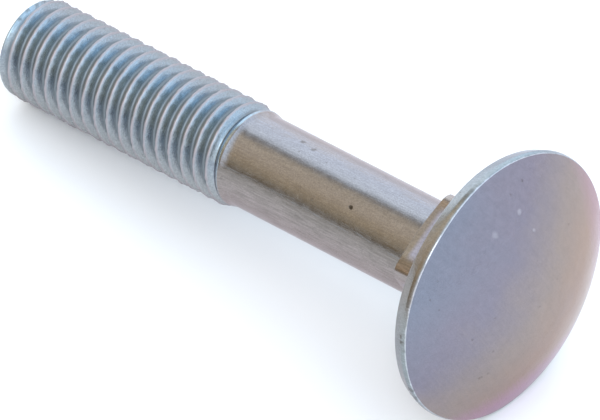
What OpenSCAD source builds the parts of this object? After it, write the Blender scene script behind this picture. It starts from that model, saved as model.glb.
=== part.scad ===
// Round head square neck bolt, also called a coach or carriage bolt, lying at rest.
// It is one cold-headed and thread-rolled piece, so it is one solid.
// Modules work in the bolt's own frame: +Z runs out of the crown, z = 0 is the bearing
// face under the head, and the tip is at z = -bolt_len.

/* [Head] */
// Diameter over the rim
head_d = 20.8; // [17:0.1:24]
// Thickness of the rim, from the bearing face to the edge of the crown
rim_h = 1.25; // [0.9:0.05:2]
// Rise of the crown above the rim
crown_h = 3; // [2:0.1:4]
// How far the upset rim bulges beyond its two edges
rim_bulge = 0.3; // [0.1:0.02:0.4]

/* [Square neck] */
// Width across the flats
neck_w = 7.35; // [7.25:0.05:8.6]
// Length below the bearing face, with its bevel
neck_len = 5.15; // [3.5:0.05:7]
// Radius of the four corners
neck_corner_r = 0.85; // [0.4:0.05:1.4]
// Length of the cone that takes the corners down to the shank
neck_bevel = 0.2; // [0.1:0.05:1.2]

/* [Shank] */
// Length from the bearing face to the tip
bolt_len = 45.5; // [38:0.1:60]
// Diameter of the plain shank, as drawn down for thread rolling
shank_d = 7.15; // [6.9:0.05:7.3]

/* [Thread] */
// Diameter over the crests
thread_d = 7.9; // [7.7:0.05:8.2]
// Distance from one crest to the next
pitch = 1.25; // [1:0.05:1.5]
// Threaded length, from the tip to the far edge of the low ridge that ends it
thread_len = 22.4; // [16:0.4:28]
// Diameter of that ridge
ridge_d = 7.44; // [7.3:0.02:7.6]
// Width of the ridge
ridge_w = 0.3; // [0.2:0.05:0.8]
// Length of the cone from the ridge down to the shank
ridge_cone = 0.45; // [0.2:0.05:1]
// Length over which the last groove rises to the ridge
groove_run_out = 0.95; // [0.5:0.05:1.5]
// Length over which the last crest sinks to the ridge
crest_run_out = 0.7; // [0.3:0.05:1.2]
// Diameter of the end face
tip_d = 7.3; // [6.6:0.05:7.6]
// Length of the cone from the end face out to the crests
tip_cone = 0.25; // [0.15:0.05:1]
// Diameter of the lip that rolling pushes up round the end face
lip_d = 7.55; // [7:0.05:7.8]
// Length over which the first groove sinks from the lip to its full depth
lip_len = 0.55; // [0.3:0.05:1.2]
// Distance from the tip to the first crest, at the flat of the neck that the helix starts from
crest_lead = 0.36; // [0:0.01:1.2]

/* [Hidden] */

// A rolled 60 degree thread: crest an eighth of the pitch wide, root a quarter
thread_h = pitch * sqrt(3) / 2;
crest_r = thread_d / 2;
root_r = crest_r - thread_h * 5 / 8;
crest_w = pitch / 8;
root_w = pitch / 4;
flank_w = (pitch - crest_w - root_w) / 2;
turn_sides = 40;
rows_per_turn = 4;

// Offsets of the four rows of one turn, and the radius each lies on
row_offset = [0, root_w, root_w + flank_w, root_w + flank_w + crest_w];
row_level = [root_r, root_r, crest_r, crest_r];

shank_r = shank_d / 2;
// The rolled stretch enters the shank as a spigot, a hair smaller than it
spigot_r = shank_r - 0.03;
spigot_len = 0.8;

// The helix is taken two turns past either end and held back to the tip and the ridge
tip_r = tip_d / 2;
lip_r = lip_d / 2;
ridge_r = ridge_d / 2;
ridge_z = thread_len - ridge_w;
helix_start = crest_lead - row_offset[3] + crest_w / 2 - 2 * pitch;
turns = ceil((ridge_z - helix_start) / pitch);
rows = turns * rows_per_turn + 1;

head_r = head_d / 2;
rim_edge_r = head_r - rim_bulge;
// Sphere through the crown's top and its edge, and arc of the rim through its two edges
crown_r = (rim_edge_r * rim_edge_r + crown_h * crown_h) / (2 * crown_h);
rim_arc_r = (rim_h * rim_h / 4 + rim_bulge * rim_bulge) / (2 * rim_bulge);
neck_corner_reach = (neck_w / 2 - neck_corner_r) * sqrt(2) + neck_corner_r;

// Turn about its own axis at which the bolt lies
rest_roll = 25;
// It rests on its rim and on the first edge of a crest that stands clear of the tip's cone
low_crest = crest_lead - pitch * rest_roll / 360;
first_crest = low_crest + pitch * ceil((tip_cone - crest_w / 2 - low_crest) / pitch);
rest_crest = first_crest + crest_w / 2 * (first_crest - crest_w / 2 < tip_cone ? 1 : -1);
rest_span = bolt_len + rim_h / 2 - rest_crest;
rest_drop = rim_arc_r - head_r + crest_r;
rest_tilt = asin(rim_arc_r / norm([rest_span, rest_drop])) - atan(rest_drop / rest_span);

function held(x, low, high) = max(low, min(high, x));

// Height above the tip of a helix row at one side of the turn, before it is held back
function helix_z(row, side) =
    helix_start + pitch * (floor(row / rows_per_turn) + side / turn_sides)
    + row_offset[row % rows_per_turn];

// Root and crest, both drawn to the ridge at the run-out and to the end face at the tip
function helix_r(row, z) =
    let (
        to_ridge = ridge_z - z,
        groove = ridge_r - (ridge_r - root_r) * held(to_ridge / groove_run_out, 0, 1),
        crest = ridge_r + (crest_r - ridge_r) * held(to_ridge / crest_run_out, 0, 1),
        lip = lip_r - (lip_r - root_r) * held(z / lip_len, 0, 1),
        cone = tip_r + (crest_r - tip_r) * z / tip_cone
    )
    min(max(min(max(row_level[row % rows_per_turn], groove), crest), lip), cone);

function ring_point(r, side, z) =
    let (a = 360 * side / turn_sides) [r * cos(a), r * sin(a), z];

// Threaded rod from z = 0 at the tip. Its rows follow the helix, so each facet lies along
// a flank, a crest or the root. Plain rings close it at both ends.
module thread_rod() {
    // Radius and height of the plain rings
    ring_size = [
        [tip_r, 0],
        [ridge_r, ridge_z],
        [ridge_r, thread_len],
        [spigot_r, thread_len + ridge_cone],
        [spigot_r, thread_len + ridge_cone + spigot_len]
    ];
    helix = [for (side = [0:turn_sides - 1]) for (row = [0:rows - 1])
        let (z = held(helix_z(row, side), 0, ridge_z)) ring_point(helix_r(row, z), side, z)];
    rings = [for (size = ring_size) for (side = [0:turn_sides - 1])
        ring_point(size[0], side, size[1])];
    function ring(n, side) = rows * turn_sides + n * turn_sides + side % turn_sides;
    // A row held back at an end shares the points of the plain ring there
    function at(row, side) =
        side == turn_sides ? at(row + rows_per_turn, 0)
        : row >= rows || helix_z(row, side) >= ridge_z ? ring(1, side)
        : helix_z(row, side) <= 0 ? ring(0, side)
        : side * rows + row;
    helix_faces = [for (side = [0:turn_sides - 1]) for (row = [0:rows - 2])
        each [
            [at(row, side), at(row + 1, side), at(row + 1, side + 1)],
            [at(row, side), at(row + 1, side + 1), at(row, side + 1)]
        ]];
    faces = [
        // Flanks, crests and roots, without those that closed up at an end
        for (f = helix_faces) if (f[0] != f[1] && f[1] != f[2] && f[2] != f[0]) f,
        // Tip, ridge, cone and spigot
        [for (side = [0:turn_sides - 1]) ring(0, side)],
        for (n = [1:3]) for (side = [0:turn_sides - 1])
            [ring(n, side), ring(n + 1, side), ring(n + 1, side + 1), ring(n, side + 1)],
        [for (side = [turn_sides - 1:-1:0]) ring(4, side)]
    ];
    polyhedron(points = concat(helix, rings), faces = faces, convexity = 10);
}

// Half section of the head: bulged rim under a spherical crown
module head_section() {
    intersection() {
        union() {
            square([rim_edge_r - rim_h, rim_h + crown_h]);
            square([rim_edge_r, rim_h]);
            translate([0, rim_h]) square([rim_edge_r, crown_h]);
            intersection() {
                translate([head_r - rim_arc_r, rim_h / 2]) circle(rim_arc_r, $fn = 96);
                translate([rim_edge_r - rim_h, 0]) square([rim_h + rim_bulge, rim_h]);
            }
        }
        translate([0, rim_h + crown_h - crown_r]) circle(crown_r, $fn = 180);
    }
}

module head() {
    rotate_extrude($fn = 120) head_section();
}

module rounded_square(w, r) {
    square([w, w - 2 * r], center = true);
    square([w - 2 * r, w], center = true);
    for (x = [-1, 1]) for (y = [-1, 1])
        translate([x * (w / 2 - r), y * (w / 2 - r)]) circle(r, $fn = 48);
}

// Square neck, with its corners coned down to the shank at the far end
module neck() {
    intersection() {
        translate([0, 0, -neck_len]) linear_extrude(neck_len + rim_h / 2)
            rounded_square(neck_w, neck_corner_r);
        union() {
            translate([0, 0, -neck_len])
                cylinder(h = neck_bevel, r1 = shank_r, r2 = neck_corner_reach, $fn = 96);
            translate([0, 0, neck_bevel - neck_len])
                cylinder(h = neck_len, r = neck_corner_reach + 1, $fn = 96);
        }
    }
}

module shank() {
    plain_len = bolt_len - thread_len - ridge_cone;
    translate([0, 0, -plain_len]) cylinder(h = plain_len + rim_h / 2, d = shank_d, $fn = 96);
}

module bolt() {
    color([0.68, 0.7, 0.74]) {
        head();
        neck();
        shank();
        translate([0, 0, -bolt_len]) thread_rod();
    }
}

// The crown faces +X and the tip -X, with the rim and the first crest on one level.
// The origin stays at the centre of the bearing face.
module lying() {
    rotate([0, 90 - rest_tilt, 0]) rotate([0, 0, rest_roll]) children();
}

lying() bolt();
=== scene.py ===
import bmesh
import bpy
import math
import numpy as np
from mathutils import Matrix, Vector


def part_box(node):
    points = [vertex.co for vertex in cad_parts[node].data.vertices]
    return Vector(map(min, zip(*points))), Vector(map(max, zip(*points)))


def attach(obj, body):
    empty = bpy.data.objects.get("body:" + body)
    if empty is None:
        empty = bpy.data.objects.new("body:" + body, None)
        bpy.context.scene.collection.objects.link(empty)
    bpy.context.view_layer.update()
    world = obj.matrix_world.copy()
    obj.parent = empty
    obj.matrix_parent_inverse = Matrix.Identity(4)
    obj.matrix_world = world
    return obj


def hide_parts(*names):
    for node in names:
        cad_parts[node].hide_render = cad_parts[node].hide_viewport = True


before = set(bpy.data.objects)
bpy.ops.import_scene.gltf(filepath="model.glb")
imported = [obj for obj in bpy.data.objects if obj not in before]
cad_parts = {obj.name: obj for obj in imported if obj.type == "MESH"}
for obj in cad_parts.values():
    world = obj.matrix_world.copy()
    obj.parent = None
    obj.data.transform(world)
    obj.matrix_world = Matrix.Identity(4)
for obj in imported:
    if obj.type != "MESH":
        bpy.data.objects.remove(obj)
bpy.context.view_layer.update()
print("frame loaded:", ", ".join(sorted(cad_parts)))


# The bolt's own frame is in millimetres: z runs along the bolt from 0 at the bearing face,
# +z out of the crown, and angles turn from own x to own y.

bolt = {
    "headD": 20.8,
    "rimH": 1.25,
    "rimBack": 0.3,         # how far the rim falls in towards the bearing face
    "rimFront": 0.05,       # and towards the crown
    "rimWidest": 0.86,      # height of its widest ring
    "rimPower": 1.1,        # how straight the rim falls in at the back, 1 for a true cone
    "rimShares": (0.93, 0.72),    # parts of the back and the front between the edge rounds
    "crownLean": 57.0,      # where the front round ends, in degrees off the rim's outward way
    "headOff": 0.12,        # the head was struck this far off the shank's axis
    "headOffAt": 85.0,      # on this side, in degrees
    "flatSpot": (0.2, 183.0, 27.0),    # a low stretch of the rim: depth, side, half width
    "uneven": 0.035,        # how far rim, crests and crown stray from true
    "crownH": 3.0,
    "neckW": 7.35,
    "neckLen": 5.15,
    "neckCornerR": 0.85,
    "neckBevel": 0.2,
    "neckFillet": 0.25,     # where the neck runs into the bearing face
    "boltLen": 45.5,
    "shankD": 7.15,
    "threadD": 7.9,
    "pitch": 1.25,
    "threadLen": 22.4,
    "ridgeD": 7.44,         # low ridge that ends the thread
    "ridgeW": 0.3,
    "ridgeCone": 0.45,
    "ridgeFade": 0.8,       # length over which the ridge falls off to the shank
    "grooveRunOut": 0.95,   # the root climbs to the ridge over this length
    "crestRunOut": 0.7,     # and the crest sinks to it over this one
    "crestRound": 0.045,    # how far rolling rounds the crest off at its two edges
    "tipD": 7.3,
    "tipCone": 0.25,
    "tipDish": 0.12,        # how far the end face is hollow
    "lipD": 7.55,           # rolling leaves a lip round the end face
    "lipLen": 0.55,         # the first groove sinks from it over this length
    "crestLead": 0.36,      # from the tip to the first crest, at angle 0
    "tilt": 8.0305,         # degrees off level, as it rests
    "roll": 25.0,           # degrees about its own axis
    "sides": 180,
    "rowsPerPitch": 16,
}
bolt["ridgeZ"] = bolt["threadLen"] - bolt["ridgeW"]    # where the ridge starts, from the tip


def lyingMatrix():
    # Own frame in mm to the row frame in m: turned by the roll about z, then laid down about Y
    turn = Matrix.Rotation(math.radians(bolt["roll"]), 4, "Z")
    lay = Matrix.Rotation(math.radians(90 - bolt["tilt"]), 4, "Y")
    return Matrix.Scale(0.001, 4) @ lay @ turn


def smoothStep(x):
    t = np.clip(x, 0, 1)
    return t * t * (3 - 2 * t)


def ripple(theta, z, seed, waves, longest):
    # Gentle unevenness: a sum of cosines in angle and height with seeded phases, about -1 to 1
    rng = np.random.default_rng(seed)
    total = np.zeros(np.broadcast(theta, z).shape)
    for _ in range(waves):
        turns = rng.integers(1, 9)
        length = longest * rng.uniform(0.35, 1)
        phase = rng.uniform(0, 2 * math.pi)
        total += np.cos(turns * theta + 2 * math.pi * z / length + phase)
    return total / math.sqrt(waves * 2)


def threadRadius(turnShare, z):
    # A rolled 60 degree profile over one pitch: root at share 0, flanks, crest at share 0.5.
    # Its depth is 5/8 of pitch * sqrt(3) / 2, its root pitch / 4 wide and its crest pitch / 8.
    # Towards the ridge the root climbs and the crest sinks; at the tip a lip fills the root
    # and a cone holds all of it in.
    b = bolt
    crestR, ridgeR = b["threadD"] / 2, b["ridgeD"] / 2
    depth = b["pitch"] * math.sqrt(3) / 2 * 5 / 8
    rootHalf, crestHalf = 1 / 8, 1 / 16
    fromCrest = np.abs(turnShare - 0.5)
    climb = np.clip((0.5 - rootHalf - fromCrest) / (0.5 - rootHalf - crestHalf), 0, 1)
    soft = climb * 0.7 + smoothStep(climb) * 0.3   # the flank's ends are eased
    crestRound = b["crestRound"] * np.clip(fromCrest / crestHalf, 0, 1.3) ** 2
    toRidge = b["ridgeZ"] - z
    rootR = crestR - depth
    low = rootR + (ridgeR - rootR) * (1 - smoothStep(toRidge / b["grooveRunOut"]))
    high = crestR - (crestR - ridgeR) * (1 - smoothStep(toRidge / b["crestRunOut"]))
    r = low + (high - low) * soft - crestRound * climb * smoothStep(toRidge / b["crestRunOut"])
    lip = b["lipD"] / 2 - (b["lipD"] / 2 - rootR) * np.clip(z / b["lipLen"], 0, 1)
    cone = b["tipD"] / 2 + (crestR - b["tipD"] / 2) * np.clip(z, 0, None) / b["tipCone"]
    return np.minimum(np.maximum(r, lip), cone)


def squareRadius(theta, halfWidth, cornerR):
    # Polar radius of a rounded square: its flat where the ray meets one, else its corner's arc
    t = np.mod(theta + math.pi / 4, math.pi / 2) - math.pi / 4
    flat = halfWidth / np.cos(t)
    c = halfWidth - cornerR
    u = math.pi / 4 - np.abs(t)
    reach = c * math.sqrt(2)
    arc = reach * np.cos(u) + np.sqrt(np.maximum(cornerR ** 2 - (reach * np.sin(u)) ** 2, 0))
    onFlat = halfWidth * np.tan(np.abs(t)) <= c
    return np.where(onFlat, flat, arc)


def arcPoints(centre, radius, startDeg, endDeg, count):
    a = np.radians(np.linspace(startDeg, endDeg, count))
    return centre[0] + radius * np.cos(a), centre[1] + radius * np.sin(a)


def boltGrid():
    # Rings of (radius, height) over all angles, in six blocks from the tip to the crown's pole,
    # one for each zone. Thread rows climb one pitch in a turn, so the last column is the first
    # one a pitch higher.
    b = bolt
    theta = np.linspace(0, 2 * math.pi, b["sides"] + 1)[None, :]
    ones = np.ones_like(theta)
    blocks = []

    tipR, ridgeR, crestR = b["tipD"] / 2, b["ridgeD"] / 2, b["threadD"] / 2
    toTip = b["boltLen"]

    # Tip: a slightly dished end face
    share = np.linspace(0, 1, 9)[:, None]
    dish = b["tipDish"] * (1 - share ** 2)
    blocks.append(("tip", tipR * share * ones, dish * ones - toTip))

    # Thread: rows of the helix, held back to the end face and to the ridge
    perPitch = b["rowsPerPitch"]
    start = b["crestLead"] - 2.5 * b["pitch"]
    count = int(math.ceil((b["ridgeZ"] - start) / b["pitch"]) * perPitch) + 1
    row = np.arange(count)[:, None]
    z = start + b["pitch"] * (row / perPitch + theta / (2 * math.pi))
    r = threadRadius(np.mod(row / perPitch, 1.0), z)
    z = np.clip(z, 0, b["ridgeZ"])
    r = np.where(z <= 0, tipR, np.where(z >= b["ridgeZ"], ridgeR, r))
    blocks.append(("thread", r, z - toTip))

    # Ridge, its cone, plain shank and square neck, with rings close together at the ridge, the
    # bevel and the fillet. The ridge falls off to the shank as
    # shank + (ridge - shank) * fade ^ 2, with fade going from 1 to 0.
    shankR = b["shankD"] / 2
    coneStart = b["threadLen"] - toTip
    coneEnd = coneStart + b["ridgeCone"]
    neckStart = -b["neckLen"]
    bevelEnd = neckStart + b["neckBevel"]
    filletStart = -b["neckFillet"]
    zs = np.concatenate([
        np.linspace(b["ridgeZ"] - toTip, coneStart, 9),
        np.linspace(coneStart, coneEnd + 0.5, 20)[1:],
        np.linspace(coneEnd + 0.5, neckStart - 0.02, 64)[1:],
        np.linspace(neckStart, bevelEnd + 0.3, 26),
        np.linspace(bevelEnd + 0.3, filletStart, 12)[1:],
        filletStart + b["neckFillet"] * np.sin(np.linspace(0, math.pi / 2, 6)[1:]),
    ])[:, None]
    fade = np.clip(1 - (zs - (b["ridgeZ"] - toTip) - 0.08) / b["ridgeFade"], 0, 1)
    body = shankR + (ridgeR - shankR) * fade ** 2

    # The neck is the lesser of the square and its bevel, blended where they meet within soft:
    # min(square, bevel) - max(soft - |square - bevel|, 0) ^ 2 / (4 * soft)
    square = squareRadius(theta, b["neckW"] / 2, b["neckCornerR"])
    reach = (b["neckW"] / 2 - b["neckCornerR"]) * math.sqrt(2) + b["neckCornerR"]
    bevel = shankR + (reach - shankR) * np.clip((zs - neckStart) / b["neckBevel"], 0, 1.6)
    soft = 0.05
    gap = np.abs(square - bevel)
    neck = np.minimum(square, bevel) - np.maximum(soft - gap, 0) ** 2 / (4 * soft)
    r = np.where(zs < neckStart - 0.01, body * ones, np.maximum(neck, shankR))

    # Its fillet under the head: radius - sqrt(radius ^ 2 - rise ^ 2)
    lift = b["neckFillet"] - np.sqrt(
        np.maximum(b["neckFillet"] ** 2 - np.clip(zs - filletStart, 0, None) ** 2, 0))
    blocks.append(("shank", r + lift, zs * ones))

    # Rim: a near cone and a parabola meet at its widest ring, between tight edge rounds. Each
    # radius falls by fall * share ^ power, so its round starts at the lean of that curve,
    # power * fall * share ^ (power - 1) / span.
    headR = b["headD"] / 2
    backShare, frontShare = b["rimShares"]
    backSpan, frontSpan = b["rimWidest"], b["rimH"] - b["rimWidest"]
    band = np.concatenate([np.linspace(-backShare, 0, 12), np.linspace(0, frontShare, 9)[1:]])
    power = b["rimPower"]
    bandR = headR - np.where(band < 0, b["rimBack"] * np.abs(band) ** power,
                             b["rimFront"] * band ** 2)
    bandZ = b["rimWidest"] + np.where(band < 0, backSpan, frontSpan) * band
    backLean = math.atan(power * b["rimBack"] * backShare ** (power - 1) / backSpan)
    frontLean = math.atan(2 * b["rimFront"] * frontShare / frontSpan)
    crownLean = math.radians(b["crownLean"])
    backR = bandZ[0] / (1 - math.sin(backLean))
    frontR = (b["rimH"] - bandZ[-1]) / (math.sin(crownLean) - math.sin(frontLean))
    lowR, lowZ = arcPoints((bandR[0] - backR * math.cos(backLean), backR), backR,
                           -90, -math.degrees(backLean), 7)
    highR, highZ = arcPoints((bandR[-1] - frontR * math.cos(frontLean),
                              bandZ[-1] - frontR * math.sin(frontLean)), frontR,
                             math.degrees(frontLean), b["crownLean"], 6)

    # Bearing face, from the square outwards, then the rim
    inner = square + b["neckFillet"]
    share = np.linspace(0, 1, 14)[1:, None]
    blocks.append(("under", inner + (lowR[0] - inner) * share, 0 * share * ones))
    rimR = np.concatenate([lowR[1:], bandR[1:-1], highR])[:, None]
    rimZ = np.concatenate([lowZ[1:], bandZ[1:-1], highZ])[:, None]
    blocks.append(("rim", rimR * ones, rimZ * ones))

    # Crown: a sphere through the rim's edge and the pole, of radius
    # (edge ^ 2 + rise ^ 2) / (2 * rise)
    edgeR, edgeZ = highR[-1], highZ[-1]
    rise = b["rimH"] + b["crownH"] - edgeZ
    ballR = (edgeR ** 2 + rise ** 2) / (2 * rise)
    slope = math.asin(edgeR / ballR)
    a = np.linspace(slope, 0, 60)[1:, None]
    blocks.append(("crown", ballR * np.sin(a) * ones,
                   (edgeZ + rise - ballR + ballR * np.cos(a)) * ones))

    zones = np.concatenate([np.full(len(r), i) for i, (_, r, _) in enumerate(blocks)])
    radius = np.concatenate([r for _, r, _ in blocks])
    height = np.concatenate([h for _, _, h in blocks])
    names = [n for n, _, _ in blocks]

    # Nothing struck or rolled is quite true: crests waver, the rim wanders, the crown has swells.
    # The rim's low stretch is depth * exp(-(turn / half width) ^ 2).
    onHead = np.where(zones[:, None] >= names.index("under"), smoothStep((radius - 5) / 4.5), 0)
    radius = radius + onHead * b["uneven"] * 1.6 * ripple(theta, 0, seed=3, waves=5, longest=9.0)
    depth, side, halfWidth = b["flatSpot"]
    turn = (theta - math.radians(side) + math.pi) % (2 * math.pi) - math.pi
    radius = radius - onHead * depth * np.exp(-(turn / math.radians(halfWidth)) ** 2)
    onThread = zones[:, None] == names.index("thread")
    onCrest = smoothStep((radius - ridgeR) / (crestR - ridgeR)) * onThread
    radius = radius + onCrest * b["uneven"] * ripple(
        theta * 5, height, seed=8, waves=7, longest=6.0)
    onCrown = (zones[:, None] == names.index("crown")) * (1 - (radius / edgeR) ** 4).clip(0, 1)
    onCrown = onCrown * smoothStep(radius / 4)
    height = height + onCrown * b["uneven"] * 0.5 * ripple(
        theta, radius, seed=5, waves=4, longest=14.0)
    return radius, height, theta, zones, names


def buildBolt():
    radius, height, theta, zones, zoneNames = boltGrid()
    own = np.stack([radius * np.cos(theta), radius * np.sin(theta), height], axis=-1)

    # The head is moved off the axis; the bearing face takes that up from the neck outwards
    under = zoneNames.index("under")
    off = smoothStep((radius - 5) / 4) * (zones[:, None] == under)
    off = bolt["headOff"] * np.where(zones[:, None] > under, 1, off)
    offAt = math.radians(bolt["headOffAt"])
    own += off[..., None] * np.array([math.cos(offAt), math.sin(offAt), 0])

    # One quad between each two rings and columns, in the zone of its upper ring
    rows, columns = radius.shape
    index = np.arange(rows * columns).reshape(rows, columns)
    quads = np.stack([index[:-1, :-1], index[:-1, 1:], index[1:, 1:], index[1:, :-1]], axis=-1)
    quadZone = np.repeat(zones[1:], columns - 1)
    mesh = bpy.data.meshes.new("bolt_surface")
    mesh.from_pydata(own.reshape(-1, 3).tolist(), [], quads.reshape(-1, 4).tolist())
    mesh.polygons.foreach_set("material_index", quadZone.astype(np.int32))
    piece = bpy.data.objects.new("bolt_surface", mesh)
    bpy.context.scene.collection.objects.link(piece)
    closeSeams(mesh)
    finishMesh(mesh)
    return piece, zoneNames


def closeSeams(mesh):
    # Points that fell together at the poles, the seam and the ends of the helix become one
    bm = bmesh.new()
    bm.from_mesh(mesh)
    bmesh.ops.remove_doubles(bm, verts=bm.verts, dist=0.0005)
    bmesh.ops.dissolve_degenerate(bm, edges=bm.edges, dist=0.0002)
    bmesh.ops.recalc_face_normals(bm, faces=bm.faces)
    loose = [v for v in bm.verts if not v.link_faces]
    bmesh.ops.delete(bm, geom=loose, context="VERTS")
    print("open edges:", sum(1 for e in bm.edges if len(e.link_faces) != 2))
    bm.to_mesh(mesh)
    bm.free()


def finishMesh(mesh):
    # Keeps the own-frame place as an attribute for the patterns, then lays the bolt down
    count = len(mesh.vertices)
    own = np.empty(count * 3, dtype=np.float32)
    mesh.vertices.foreach_get("co", own)
    place = mesh.attributes.new("ownPlace", "FLOAT_VECTOR", "POINT")
    place.data.foreach_set("vector", own)
    matrix = np.array(lyingMatrix())
    laid = own.reshape(-1, 3).astype(np.float64) @ matrix[:3, :3].T + matrix[:3, 3]
    mesh.vertices.foreach_set("co", laid.astype(np.float32).ravel())
    mesh.polygons.foreach_set("use_smooth", np.ones(len(mesh.polygons), dtype=bool))
    mesh.update()


boltPiece, zoneNames = buildBolt()
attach(boltPiece, "root")
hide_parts("bolt")
print("bolt surface:", len(boltPiece.data.polygons), "faces,", zoneNames)


# Materials

def linear(hexColour):
    # sRGB hex to the linear colour that the sockets take
    parts = [int(hexColour[i:i + 2], 16) / 255 for i in (1, 3, 5)]
    return tuple(p / 12.92 if p <= 0.04045 else ((p + 0.055) / 1.055) ** 2.4 for p in parts) + (1,)


def addNode(tree, kind, settings=None, inputs=None):
    # Adds a node. Settings are its options; an input takes a value, a node or a socket.
    # On a Mix node input 0 is the share, 2 and 3 are its numbers and 6 and 7 its colours.
    node = tree.nodes.new(kind)
    for key, value in (settings or {}).items():
        setattr(node, key, value)
    for key, value in (inputs or {}).items():
        source = value.outputs[0] if hasattr(value, "outputs") else value
        if hasattr(source, "is_output"):
            tree.links.new(source, node.inputs[key])
        else:
            node.inputs[key].default_value = value
    return node


# Zinc plated on cold-headed steel and passivated clear. To the eye it is a soft bright metal, greyer
# than polished steel. Its colour is painted in bands across each zone, from lavender through silver
# to straw, with a painted rose reflection towards the crown's edges: painted reflections and painted
# shade for the side of the bolt that each band lies on, over the film's own tint. Sizes are in own
# millimetres.
plateLook = {
    "glancing": "#f3ebee",      # what the metal turns to at a glancing view
    "dirt": "#4a4237",
    "bareAndHighlight": "#d9dbe2",          # where a knock burnished it, and the painted highlight on the rim's front edge
    # painted reflection colour for the crown's edges
    "paintedRoseColour": "#b48cab",
    "cloud": 6.0,               # size of the film's clouds
    "mottle": 0.5,              # size of the fine cloudiness
    "grain": 0.11,              # grit, drawn as coarse as it needs to show
    "cell": 0.8,                # at most one pit in each cell of this size
    "pit": (0.13, 0.05, 0.3),   # share of its cell that it reaches and fills, and how dark
    "fray": 0.03,               # how far the limits of worn stretches wander
    "ragged": 0.12,             # and the edges of stains
    "crownTurn": 0.9,           # radians, the way in which the crown's tool marks run
    "dent": 1.2,                # depth of pits and dents, as the grit has 1
    "relief": 0.00004,          # metres, for grit, tool marks, pits and dents
    "wave": 2.2,                # length of the slow waves left by upsetting and rolling
    "swell": 0.00012,           # metres, for those waves
}

# Nearly all of a noise lies between these two values
noiseSpan = {"From Min": 0.3, "From Max": 0.7}

# How each zone of the bolt was worked.
# The colour bands: a way across the bolt, and a few tints along it, from slate and blue through
# silver and brown to straw and pale grey. They are painted reflections and painted shade, set by
# which side of the bolt they lie on, over the film's own tint.
# drift: how far the clouds, and the tool marks, push those colours about
# lines: length, width and depth of the tool marks
# grain, specks: how strong the grit is, and in what share of the cells there is a pit
# rings: from and to these distances from the axis, a colour and a roughness
# flats: half width of the flats outside and inside, where they start and end, and their colour
# the rim's painted edge highlight: from and to these heights, and how strong
# the painted rose reflection on the crown: the way to it, from and to these distances, and how strong
zoneLook = {
    "tip": {"paintedBands": ((0.245, -0.969, 0.0), [(-3.8, "#9b9fa0"), (3.8, "#a8acae")]),
            "drift": (1.5, 0.3), "lines": (0.6, 0.1, 0.4), "roughness": 0.34, "grain": 0.5,
            "specks": 0.4},
    "thread": {"paintedBands": ((0.245, -0.969, 0.0),
                        [(-3.8, "#989ca0"), (-2.2, "#9aafbe"), (1.0, "#9aa4a8"),
                         (1.6, "#869098"), (3.9, "#b0b4b6")]),
               "drift": (0.3, 0.25), "lines": (2.5, 0.12, 0.3), "roughness": 0.24, "grain": 0.55,
               "specks": 0.3, "rings": [(3.52, 3.32, "#7b8286", 0.46), (3.8, 3.94, "#a59fa2", 0.46)]},
    "shank": {"paintedBands": ((0.245, -0.969, 0.0),
                       [(-3.6, "#98908c"), (-2.5, "#8f8f96"), (0.9, "#969698"),
                        (1.5, "#7a746e"), (3.6, "#a89e9c")]),
              "drift": (0.15, 0.32), "lines": (1.5, 0.14, 0.45), "roughness": 0.21, "grain": 0.5,
              "specks": 0.25, "flats": (2.4, 1.8, -4.7, -4.35, "#a6b0d4")},
    "under": {"paintedBands": ((0.969, 0.245, 0.0), [(-10.0, "#8f9298"), (10.0, "#978f88")]),
              "drift": (3.0, 1.0), "lines": (0.9, 0.2, 0.3), "roughness": 0.3, "grain": 0.4,
              "specks": 0.3},
    "rim": {"paintedBands": ((0.245, -0.969, 0.0),
                     [(-10.4, "#8a98a0"), (-3.0, "#949698"), (3.0, "#888480"),
                      (10.4, "#8c989c")]),
            "drift": (1.0, 0.5), "lines": (0.8, 0.14, 0.5), "roughness": 0.22, "grain": 0.5,
            # the rim's front edge gets a painted highlight
            "specks": 0.6, "paintedEdgeHighlight": (1.16, 1.23, 0.5)},
    "crown": {"paintedBands": ((0.969, 0.245, 0.0),
                       [(-10.4, "#7c8290"), (-5.0, "#84808c"), (1.0, "#968a84"),
                        (5.5, "#9e8a7a"), (10.2, "#ac9e8c")]),
              "drift": (1.3, 0.35), "lines": (5.0, 0.1, 0.12), "roughness": 0.2, "grain": 0.22,
              "specks": 0.2,
              # painted rose reflection towards the crown's edges
              "paintedRoseBands": [((0.93, -0.36, 0), 6.7, 8.7, 0.65), ((0.45, 0.89, 0), 7.4, 9.6, 0.35)]},
}

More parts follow.
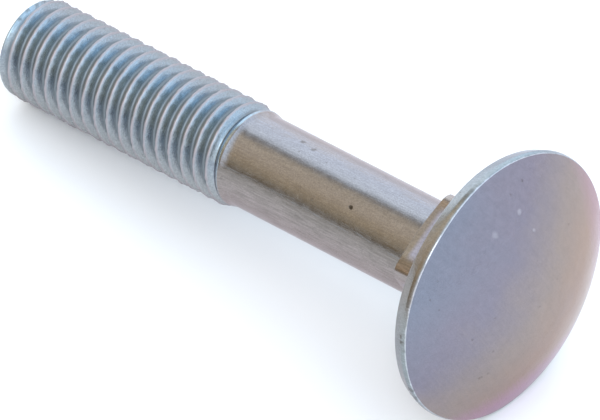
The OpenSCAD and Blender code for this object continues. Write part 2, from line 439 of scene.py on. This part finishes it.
# Dents and stains that a handled bolt shows: place, reach, and how dark. Negative ones are
# burnished.
wearMarks = {
    "crown": [((-6.81, 5.88, 1.92), 0.16, 0.35), ((-7.37, 4.48, 2.12), 0.15, 0.3),
              ((-7.49, -5.1, 1.88), 0.12, 0.3), ((-5.29, -6.25, 2.34), 0.14, 0.3),
              ((-2.52, -5.03, 3.37), 0.16, 0.3), ((1.45, -6.24, 3.11), 0.18, 0.3),
              ((1.7, -5.55, 3.32), 0.12, 0.25), ((-6.15, 3.95, 2.74), 0.26, -0.2),
              ((-7.0, 1.39, 2.82), 0.34, -0.16), ((-4.23, 3.78, 3.36), 0.18, -0.2)],
    "rim": [((-6.02, -8.5, 0.92), 0.3, 0.7), ((-6.3, -8.3, 0.8), 0.25, 0.6),
            ((-1.76, -10.3, 1.0), 0.45, 0.4), ((-0.6, -10.35, 0.9), 0.5, 0.35)],
    "thread": [((-3.48, 1.32, -45.35), 0.3, 0.45), ((-3.02, 2.18, -45.25), 0.34, 0.4),
               ((-3.7, 0.38, -45.3), 0.26, 0.4), ((-3.6, -0.9, -45.2), 0.22, 0.35),
               ((-2.4, 2.9, -45.3), 0.26, 0.4)],
    "shank": [((-3.5, -0.73, -11.3), 0.16, 0.9), ((-3.5, -0.8, -11.15), 0.12, 0.8),
              ((-3.25, -1.5, -14.6), 0.2, 0.25), ((-2.88, 2.12, -18.48), 0.26, 0.45),
              ((-3.01, 1.93, -17.18), 0.22, 0.4)],
}


def zincSurface(zone):
    look = zoneLook[zone]
    material = bpy.data.materials.new("bright zinc plate, " + zone)
    material.use_nodes = True
    tree = material.node_tree
    shader = tree.nodes["Principled BSDF"]
    place = addNode(tree, "ShaderNodeAttribute", {"attribute_name": "ownPlace"}).outputs["Vector"]

    # Noise in four sizes: the film's clouds, fine cloudiness, grit, and the marks of the tools,
    # which are drawn out along the bolt but across the crown
    length, width, lineDepth = look["lines"]
    onCrown = zone == "crown"
    stretch = addNode(tree, "ShaderNodeMapping", {}, {
        "Vector": place, "Rotation": (0, 0, plateLook["crownTurn"] if onCrown else 0),
        "Scale": (1 / length if onCrown else 1 / width, 1 / width, 1 / length)})
    cloud = addNode(tree, "ShaderNodeTexNoise", {}, {
        "Vector": place, "Scale": 1 / plateLook["cloud"], "Detail": 3, "Roughness": 0.55})
    mottle = addNode(tree, "ShaderNodeTexNoise", {}, {
        "Vector": place, "Scale": 1 / plateLook["mottle"], "Detail": 4, "Roughness": 0.6})
    grain = addNode(tree, "ShaderNodeTexNoise", {}, {
        "Vector": place, "Scale": 1 / plateLook["grain"], "Detail": 2, "Roughness": 0.6})
    line = addNode(tree, "ShaderNodeTexNoise", {}, {
        "Vector": stretch, "Scale": 1, "Detail": 2, "Roughness": 0.55})

    # Painted bands: the distance along their way, pushed about by clouds and tool marks, picks the
    # colour. The bands are painted reflections and painted shade over the film's tint.
    towards, stops = look["paintedBands"]
    cloudPush, linePush = look["drift"]
    along = addNode(tree, "ShaderNodeVectorMath", {"operation": "DOT_PRODUCT"}, {
        0: place, 1: towards}).outputs["Value"]
    drift = addNode(tree, "ShaderNodeMapRange", {}, {
        "Value": cloud, **noiseSpan, "To Min": -cloudPush, "To Max": cloudPush})
    jitter = addNode(tree, "ShaderNodeMapRange", {}, {
        "Value": line, **noiseSpan, "To Min": -linePush, "To Max": linePush})
    pushed = addNode(tree, "ShaderNodeMath", {"operation": "ADD"}, {0: along, 1: drift})
    pushed = addNode(tree, "ShaderNodeMath", {"operation": "ADD"}, {0: pushed, 1: jitter})
    low, high = stops[0][0], stops[-1][0]
    share = addNode(tree, "ShaderNodeMapRange", {}, {
        "Value": pushed, "From Min": low, "From Max": high})
    paintedBands = addNode(tree, "ShaderNodeValToRGB", {}, {"Fac": share})
    for i, (at, colour) in enumerate(stops):
        at = (at - low) / (high - low)
        stop = paintedBands.color_ramp.elements[i] if i < 2 else paintedBands.color_ramp.elements.new(at)
        stop.position = at
        stop.color = linear(colour)
    colour = paintedBands.outputs["Color"]

    # Distance from the bolt's axis, for the thread's rings, and height, for the rim and neck.
    # The fray keeps their limits from being drawn too cleanly.
    upwards = addNode(tree, "ShaderNodeSeparateXYZ", {}, {"Vector": place}).outputs["Z"]
    flat = addNode(tree, "ShaderNodeVectorMath", {"operation": "MULTIPLY"}, {
        0: place, 1: (1, 1, 0)})
    out = addNode(tree, "ShaderNodeVectorMath", {"operation": "LENGTH"}, {
        0: flat}).outputs["Value"]
    fray = addNode(tree, "ShaderNodeMapRange", {}, {
        "Value": mottle, **noiseSpan, "To Min": -plateLook["fray"], "To Max": plateLook["fray"]})
    frayed = addNode(tree, "ShaderNodeMath", {"operation": "ADD"}, {0: out, 1: fray})
    if "paintedEdgeHighlight" in look:    # painted highlight: a bright band along the edge between rim and crown
        low, high, most = look["paintedEdgeHighlight"]
        edgeHighlight = addNode(tree, "ShaderNodeMath", {"operation": "ADD"}, {0: upwards, 1: fray})
        edgeHighlight = addNode(tree, "ShaderNodeMapRange", {}, {
            "Value": edgeHighlight, "From Min": low, "From Max": high, "To Max": most})
        colour = addNode(tree, "ShaderNodeMix", {"data_type": "RGBA"}, {
            0: edgeHighlight, 6: colour, 7: linear(plateLook["bareAndHighlight"])}).outputs[2]
    if "flats" in look:    # lavender on the middles of the neck's flats
        side, inside, low, high, lavender = look["flats"]
        parts = addNode(tree, "ShaderNodeVectorMath", {"operation": "ABSOLUTE"}, {0: place})
        parts = addNode(tree, "ShaderNodeSeparateXYZ", {}, {"Vector": parts}).outputs
        nearer = addNode(tree, "ShaderNodeMath", {"operation": "MINIMUM"}, {
            0: parts["X"], 1: parts["Y"]})
        within = addNode(tree, "ShaderNodeMapRange", {}, {
            "Value": nearer, "From Min": side, "From Max": inside})
        onNeck = addNode(tree, "ShaderNodeMapRange", {}, {
            "Value": upwards, "From Min": low, "From Max": high})
        lavenderShare = addNode(tree, "ShaderNodeMath", {"operation": "MULTIPLY"}, {
            0: within, 1: onNeck})
        colour = addNode(tree, "ShaderNodeMix", {"data_type": "RGBA"}, {
            0: lavenderShare, 6: colour, 7: linear(lavender)}).outputs[2]
    for way, low, high, most in look.get("paintedRoseBands", []):    # painted reflection: rose towards the crown's edges, where the film would show it at a glancing view
        sideways = addNode(tree, "ShaderNodeVectorMath", {"operation": "DOT_PRODUCT"}, {
            0: place, 1: way}).outputs["Value"]
        sideways = addNode(tree, "ShaderNodeMath", {"operation": "ADD"}, {
            0: sideways, 1: jitter})
        paintedRoseShare = addNode(tree, "ShaderNodeMapRange", {}, {
            "Value": sideways, "From Min": low, "From Max": high, "To Max": most})
        colour = addNode(tree, "ShaderNodeMix", {"data_type": "RGBA"}, {
            0: paintedRoseShare, 6: colour, 7: linear(plateLook["paintedRoseColour"])}).outputs[2]

    # Fine cloudiness, grit and tool marks as light and dark
    cloudy = addNode(tree, "ShaderNodeMapRange", {}, {
        "Value": mottle, **noiseSpan, "To Min": 0.95, "To Max": 1.05})
    gritty = addNode(tree, "ShaderNodeMapRange", {}, {
        "Value": grain, **noiseSpan,
        "To Min": 1 - look["grain"] * 0.3, "To Max": 1 + look["grain"] * 0.25})
    drawn = addNode(tree, "ShaderNodeMapRange", {}, {
        "Value": line, **noiseSpan,
        "To Min": 1 - lineDepth * 0.2, "To Max": 1 + lineDepth * 0.1})
    shade = addNode(tree, "ShaderNodeMath", {"operation": "MULTIPLY"}, {0: cloudy, 1: gritty})
    shade = addNode(tree, "ShaderNodeMath", {"operation": "MULTIPLY"}, {0: shade, 1: drawn})
    colour = addNode(tree, "ShaderNodeMix", {"data_type": "RGBA", "blend_type": "MULTIPLY"}, {
        0: 1.0, 6: colour, 7: shade}).outputs[2]

    # Pits: one small one in some of the cells
    cells = addNode(tree, "ShaderNodeTexVoronoi", {}, {
        "Vector": place, "Scale": 1 / plateLook["cell"]})
    chance = addNode(tree, "ShaderNodeSeparateColor", {}, {"Color": cells.outputs["Color"]})
    chosen = addNode(tree, "ShaderNodeMapRange", {}, {
        "Value": chance, "From Min": 1 - look["specks"], "From Max": 1.05 - look["specks"]})
    reach, full, dark = plateLook["pit"]
    pit = addNode(tree, "ShaderNodeMapRange", {}, {
        "Value": cells, "From Min": reach, "From Max": full, "To Max": dark})
    soil = addNode(tree, "ShaderNodeMath", {"operation": "MULTIPLY"}, {0: chosen, 1: pit})

    # Dents and stains: soft round spots with a ragged edge
    ragged = addNode(tree, "ShaderNodeMapRange", {}, {
        "Value": mottle, **noiseSpan,
        "To Min": -plateLook["ragged"], "To Max": plateLook["ragged"]})
    for at, size, dark in wearMarks.get(zone, []):
        away = addNode(tree, "ShaderNodeVectorMath", {"operation": "DISTANCE"}, {
            0: place, 1: at}).outputs["Value"]
        away = addNode(tree, "ShaderNodeMath", {"operation": "ADD"}, {0: away, 1: ragged})
        spot = addNode(tree, "ShaderNodeMapRange", {}, {
            "Value": away, "From Min": size, "From Max": size * 0.35, "To Max": dark})
        soil = addNode(tree, "ShaderNodeMath", {"operation": "ADD"}, {0: spot, 1: soil})
    darkened = addNode(tree, "ShaderNodeMath", {"operation": "MAXIMUM"}, {0: soil, 1: 0.0})
    burnished = addNode(tree, "ShaderNodeMath", {"operation": "SUBTRACT"}, {
        0: darkened, 1: soil})
    colour = addNode(tree, "ShaderNodeMix", {"data_type": "RGBA"}, {
        0: darkened, 6: colour, 7: linear(plateLook["dirt"])}).outputs[2]
    colour = addNode(tree, "ShaderNodeMix", {"data_type": "RGBA"}, {
        0: burnished, 6: colour, 7: linear(plateLook["bareAndHighlight"])}).outputs[2]

    # Gloss: duller in the clouds and in the dirt
    rough = addNode(tree, "ShaderNodeMapRange", {}, {
        "Value": mottle, **noiseSpan,
        "To Min": look["roughness"] - 0.03, "To Max": look["roughness"] + 0.05})
    for low, high, tint, dull in look.get("rings", []):   # darker and duller in the roots, rubbed pale crests
        within = addNode(tree, "ShaderNodeMapRange", {}, {
            "Value": frayed, "From Min": low, "From Max": high})
        colour = addNode(tree, "ShaderNodeMix", {"data_type": "RGBA"}, {
            0: within, 6: colour, 7: linear(tint)}).outputs[2]
        rough = addNode(tree, "ShaderNodeMix", {"data_type": "FLOAT"}, {
            0: within, 2: rough, 3: dull})
    rough = addNode(tree, "ShaderNodeMath", {"operation": "MULTIPLY_ADD", "use_clamp": True}, {
        0: soil, 1: 0.3, 2: rough})

    # Relief: grit and tool marks, pits and dents sunk in, over slow waves
    gritHeight = addNode(tree, "ShaderNodeMath", {"operation": "MULTIPLY"}, {
        0: grain, 1: look["grain"]})
    height = addNode(tree, "ShaderNodeMath", {"operation": "MULTIPLY_ADD"}, {
        0: line, 1: lineDepth, 2: gritHeight})
    height = addNode(tree, "ShaderNodeMath", {"operation": "MULTIPLY_ADD"}, {
        0: soil, 1: -plateLook["dent"], 2: height})
    waves = addNode(tree, "ShaderNodeTexNoise", {}, {
        "Vector": place, "Scale": 1 / plateLook["wave"]})
    bump = addNode(tree, "ShaderNodeBump", {}, {
        "Strength": 0.22, "Distance": plateLook["relief"], "Height": height})
    swell = addNode(tree, "ShaderNodeBump", {}, {
        "Strength": 0.35, "Distance": plateLook["swell"], "Height": waves, "Normal": bump})

    tree.links.new(colour, shader.inputs["Base Color"])
    tree.links.new(rough.outputs[0], shader.inputs["Roughness"])
    tree.links.new(swell.outputs["Normal"], shader.inputs["Normal"])
    shader.inputs["Metallic"].default_value = 1
    shader.inputs["Specular Tint"].default_value = linear(plateLook["glancing"])
    return material


for zone in zoneNames:
    boltPiece.data.materials.append(zincSurface(zone))
print("materials:", ", ".join(m.name for m in boltPiece.data.materials))


# Floor, light and camera

stageLook = {
    "floorSize": 3.0,
    "floorColour": "#f7f7f7",
}


def buildFloor():
    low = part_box("bolt")[0][2]
    half = stageLook["floorSize"] / 2
    mesh = bpy.data.meshes.new("floor")
    mesh.from_pydata([(-half, -half, low), (half, -half, low), (half, half, low),
                      (-half, half, low)], [], [(0, 1, 2, 3)])
    floor = bpy.data.objects.new("floor", mesh)
    bpy.context.scene.collection.objects.link(floor)
    material = bpy.data.materials.new("pale matt paper")
    material.use_nodes = True
    shader = material.node_tree.nodes["Principled BSDF"]
    shader.inputs["Base Color"].default_value = linear(stageLook["floorColour"])
    shader.inputs["Roughness"].default_value = 0.9
    shader.inputs["Specular IOR Level"].default_value = 0.1
    mesh.materials.append(material)


buildFloor()

cameraLook = {
    "lens": 661.0,
    "azimuth": 42.6777,
    "elevation": 45.1688,
    "distance": 0.785347,
    "target": (-0.0124288, -0.0065171, 0.0036126),
}


def buildCamera():
    az, el = math.radians(cameraLook["azimuth"]), math.radians(cameraLook["elevation"])
    back = Vector((math.sin(az) * math.cos(el), -math.cos(az) * math.cos(el), math.sin(el)))
    data = bpy.data.cameras.new("camera")
    data.sensor_width = 36
    data.lens = cameraLook["lens"]
    data.clip_start = 0.01
    data.clip_end = 10
    camera = bpy.data.objects.new("camera", data)
    bpy.context.scene.collection.objects.link(camera)
    camera.location = Vector(cameraLook["target"]) + back * cameraLook["distance"]
    camera.rotation_euler = back.to_track_quat("Z", "Y").to_euler()
    bpy.context.scene.camera = camera


buildCamera()

# Soft studio walls in long bands beside the bolt. Each band starts at an angle round the
# bolt's axis, counted from the side that faces the camera, downwards.
studio = {
    "towards": (-0.10826, -0.63206, 0.76732),    # square to the axis, to the camera's side
    "beside": (0.0883, -0.77492, -0.62586),      # square to both
    "bands": [(-180, "#ffffff", 1.15), (-150, "#f2f8ff", 1.4), (-120, "#eaf5ff", 2.1),
              (-60, "#eaf3fa", 2.15), (-47, "#a8a6a2", 1.0), (-34, "#e6d6bc", 1.4),
              (-12, "#e6d4bc", 1.4), (14, "#dcc6a6", 1.2), (34, "#c6b599", 0.9),
              (46, "#b9ad9c", 0.7), (60, "#f4f2f0", 1.0), (90, "#ffffff", 1.1),
              (180, "#ffffff", 1.15)],
    "endWall": ("#f2f6ff", 1.5),      # the wall that the crown looks at
    "endWallSpan": (-0.45, -0.15),    # it takes over from the bands between these ways along X
    "ceiling": ("#e2f0ff", 1.85),     # the soft light over the head end
    "ceilingSpan": (0.35, 0.65),      # and this from the wall between these ways up
    "brightest": 2.2,                 # the ramp's 1, as its stops stay under 1
    "keyPower": 1.2,
    "keySize": 0.14,
    "keyPlace": (0.42, -0.5, 0.78),
}


def buildWorld():
    world = bpy.data.worlds.new("studio")
    world.use_nodes = True
    tree = world.node_tree
    background = tree.nodes["Background"]
    facing = addNode(tree, "ShaderNodeTexCoord").outputs["Generated"]
    towards = addNode(tree, "ShaderNodeVectorMath", {"operation": "DOT_PRODUCT"}, {
        0: facing, 1: studio["towards"]}).outputs["Value"]
    beside = addNode(tree, "ShaderNodeVectorMath", {"operation": "DOT_PRODUCT"}, {
        0: facing, 1: studio["beside"]}).outputs["Value"]
    turn = addNode(tree, "ShaderNodeMath", {"operation": "ARCTAN2"}, {0: beside, 1: towards})
    share = addNode(tree, "ShaderNodeMapRange", {}, {
        "Value": turn, "From Min": -math.pi, "From Max": math.pi})
    ramp = addNode(tree, "ShaderNodeValToRGB", {}, {"Fac": share})
    stops = ramp.color_ramp.elements
    for i, (angle, colour, level) in enumerate(studio["bands"]):
        at = (angle + 180) / 360
        stop = stops[i] if i < 2 else stops.new(at)
        stop.position = at
        scaled = [c * level / studio["brightest"] for c in linear(colour)[:3]]
        stop.color = scaled + [1]
    parts = addNode(tree, "ShaderNodeSeparateXYZ", {}, {"Vector": facing}).outputs
    low, high = studio["ceilingSpan"]
    height = addNode(tree, "ShaderNodeMapRange", {}, {
        "Value": parts["Z"], "From Min": low, "From Max": high})
    low, high = studio["endWallSpan"]
    ahead = addNode(tree, "ShaderNodeMapRange", {}, {
        "Value": parts["X"], "From Min": low, "From Max": high})
    headEnd = addNode(tree, "ShaderNodeMix", {"data_type": "RGBA"}, {0: height})
    for socket, (colour, level) in ((6, studio["endWall"]), (7, studio["ceiling"])):
        headEnd.inputs[socket].default_value = [
            c * level / studio["brightest"] for c in linear(colour)[:3]] + [1]
    mixed = addNode(tree, "ShaderNodeMix", {"data_type": "RGBA"}, {
        0: ahead, 6: ramp, 7: headEnd.outputs[2]})
    tree.links.new(mixed.outputs[2], background.inputs["Color"])
    background.inputs["Strength"].default_value = studio["brightest"]
    bpy.context.scene.world = world


def buildKey():
    data = bpy.data.lights.new("key", "AREA")
    data.energy = studio["keyPower"]
    data.size = studio["keySize"]
    key = bpy.data.objects.new("key", data)
    bpy.context.scene.collection.objects.link(key)
    key.location = studio["keyPlace"]
    key.rotation_euler = Vector(studio["keyPlace"]).to_track_quat("Z", "Y").to_euler()


buildWorld()
buildKey()
bpy.context.scene.view_settings.view_transform = "Standard"
print("stage, camera and light ready")
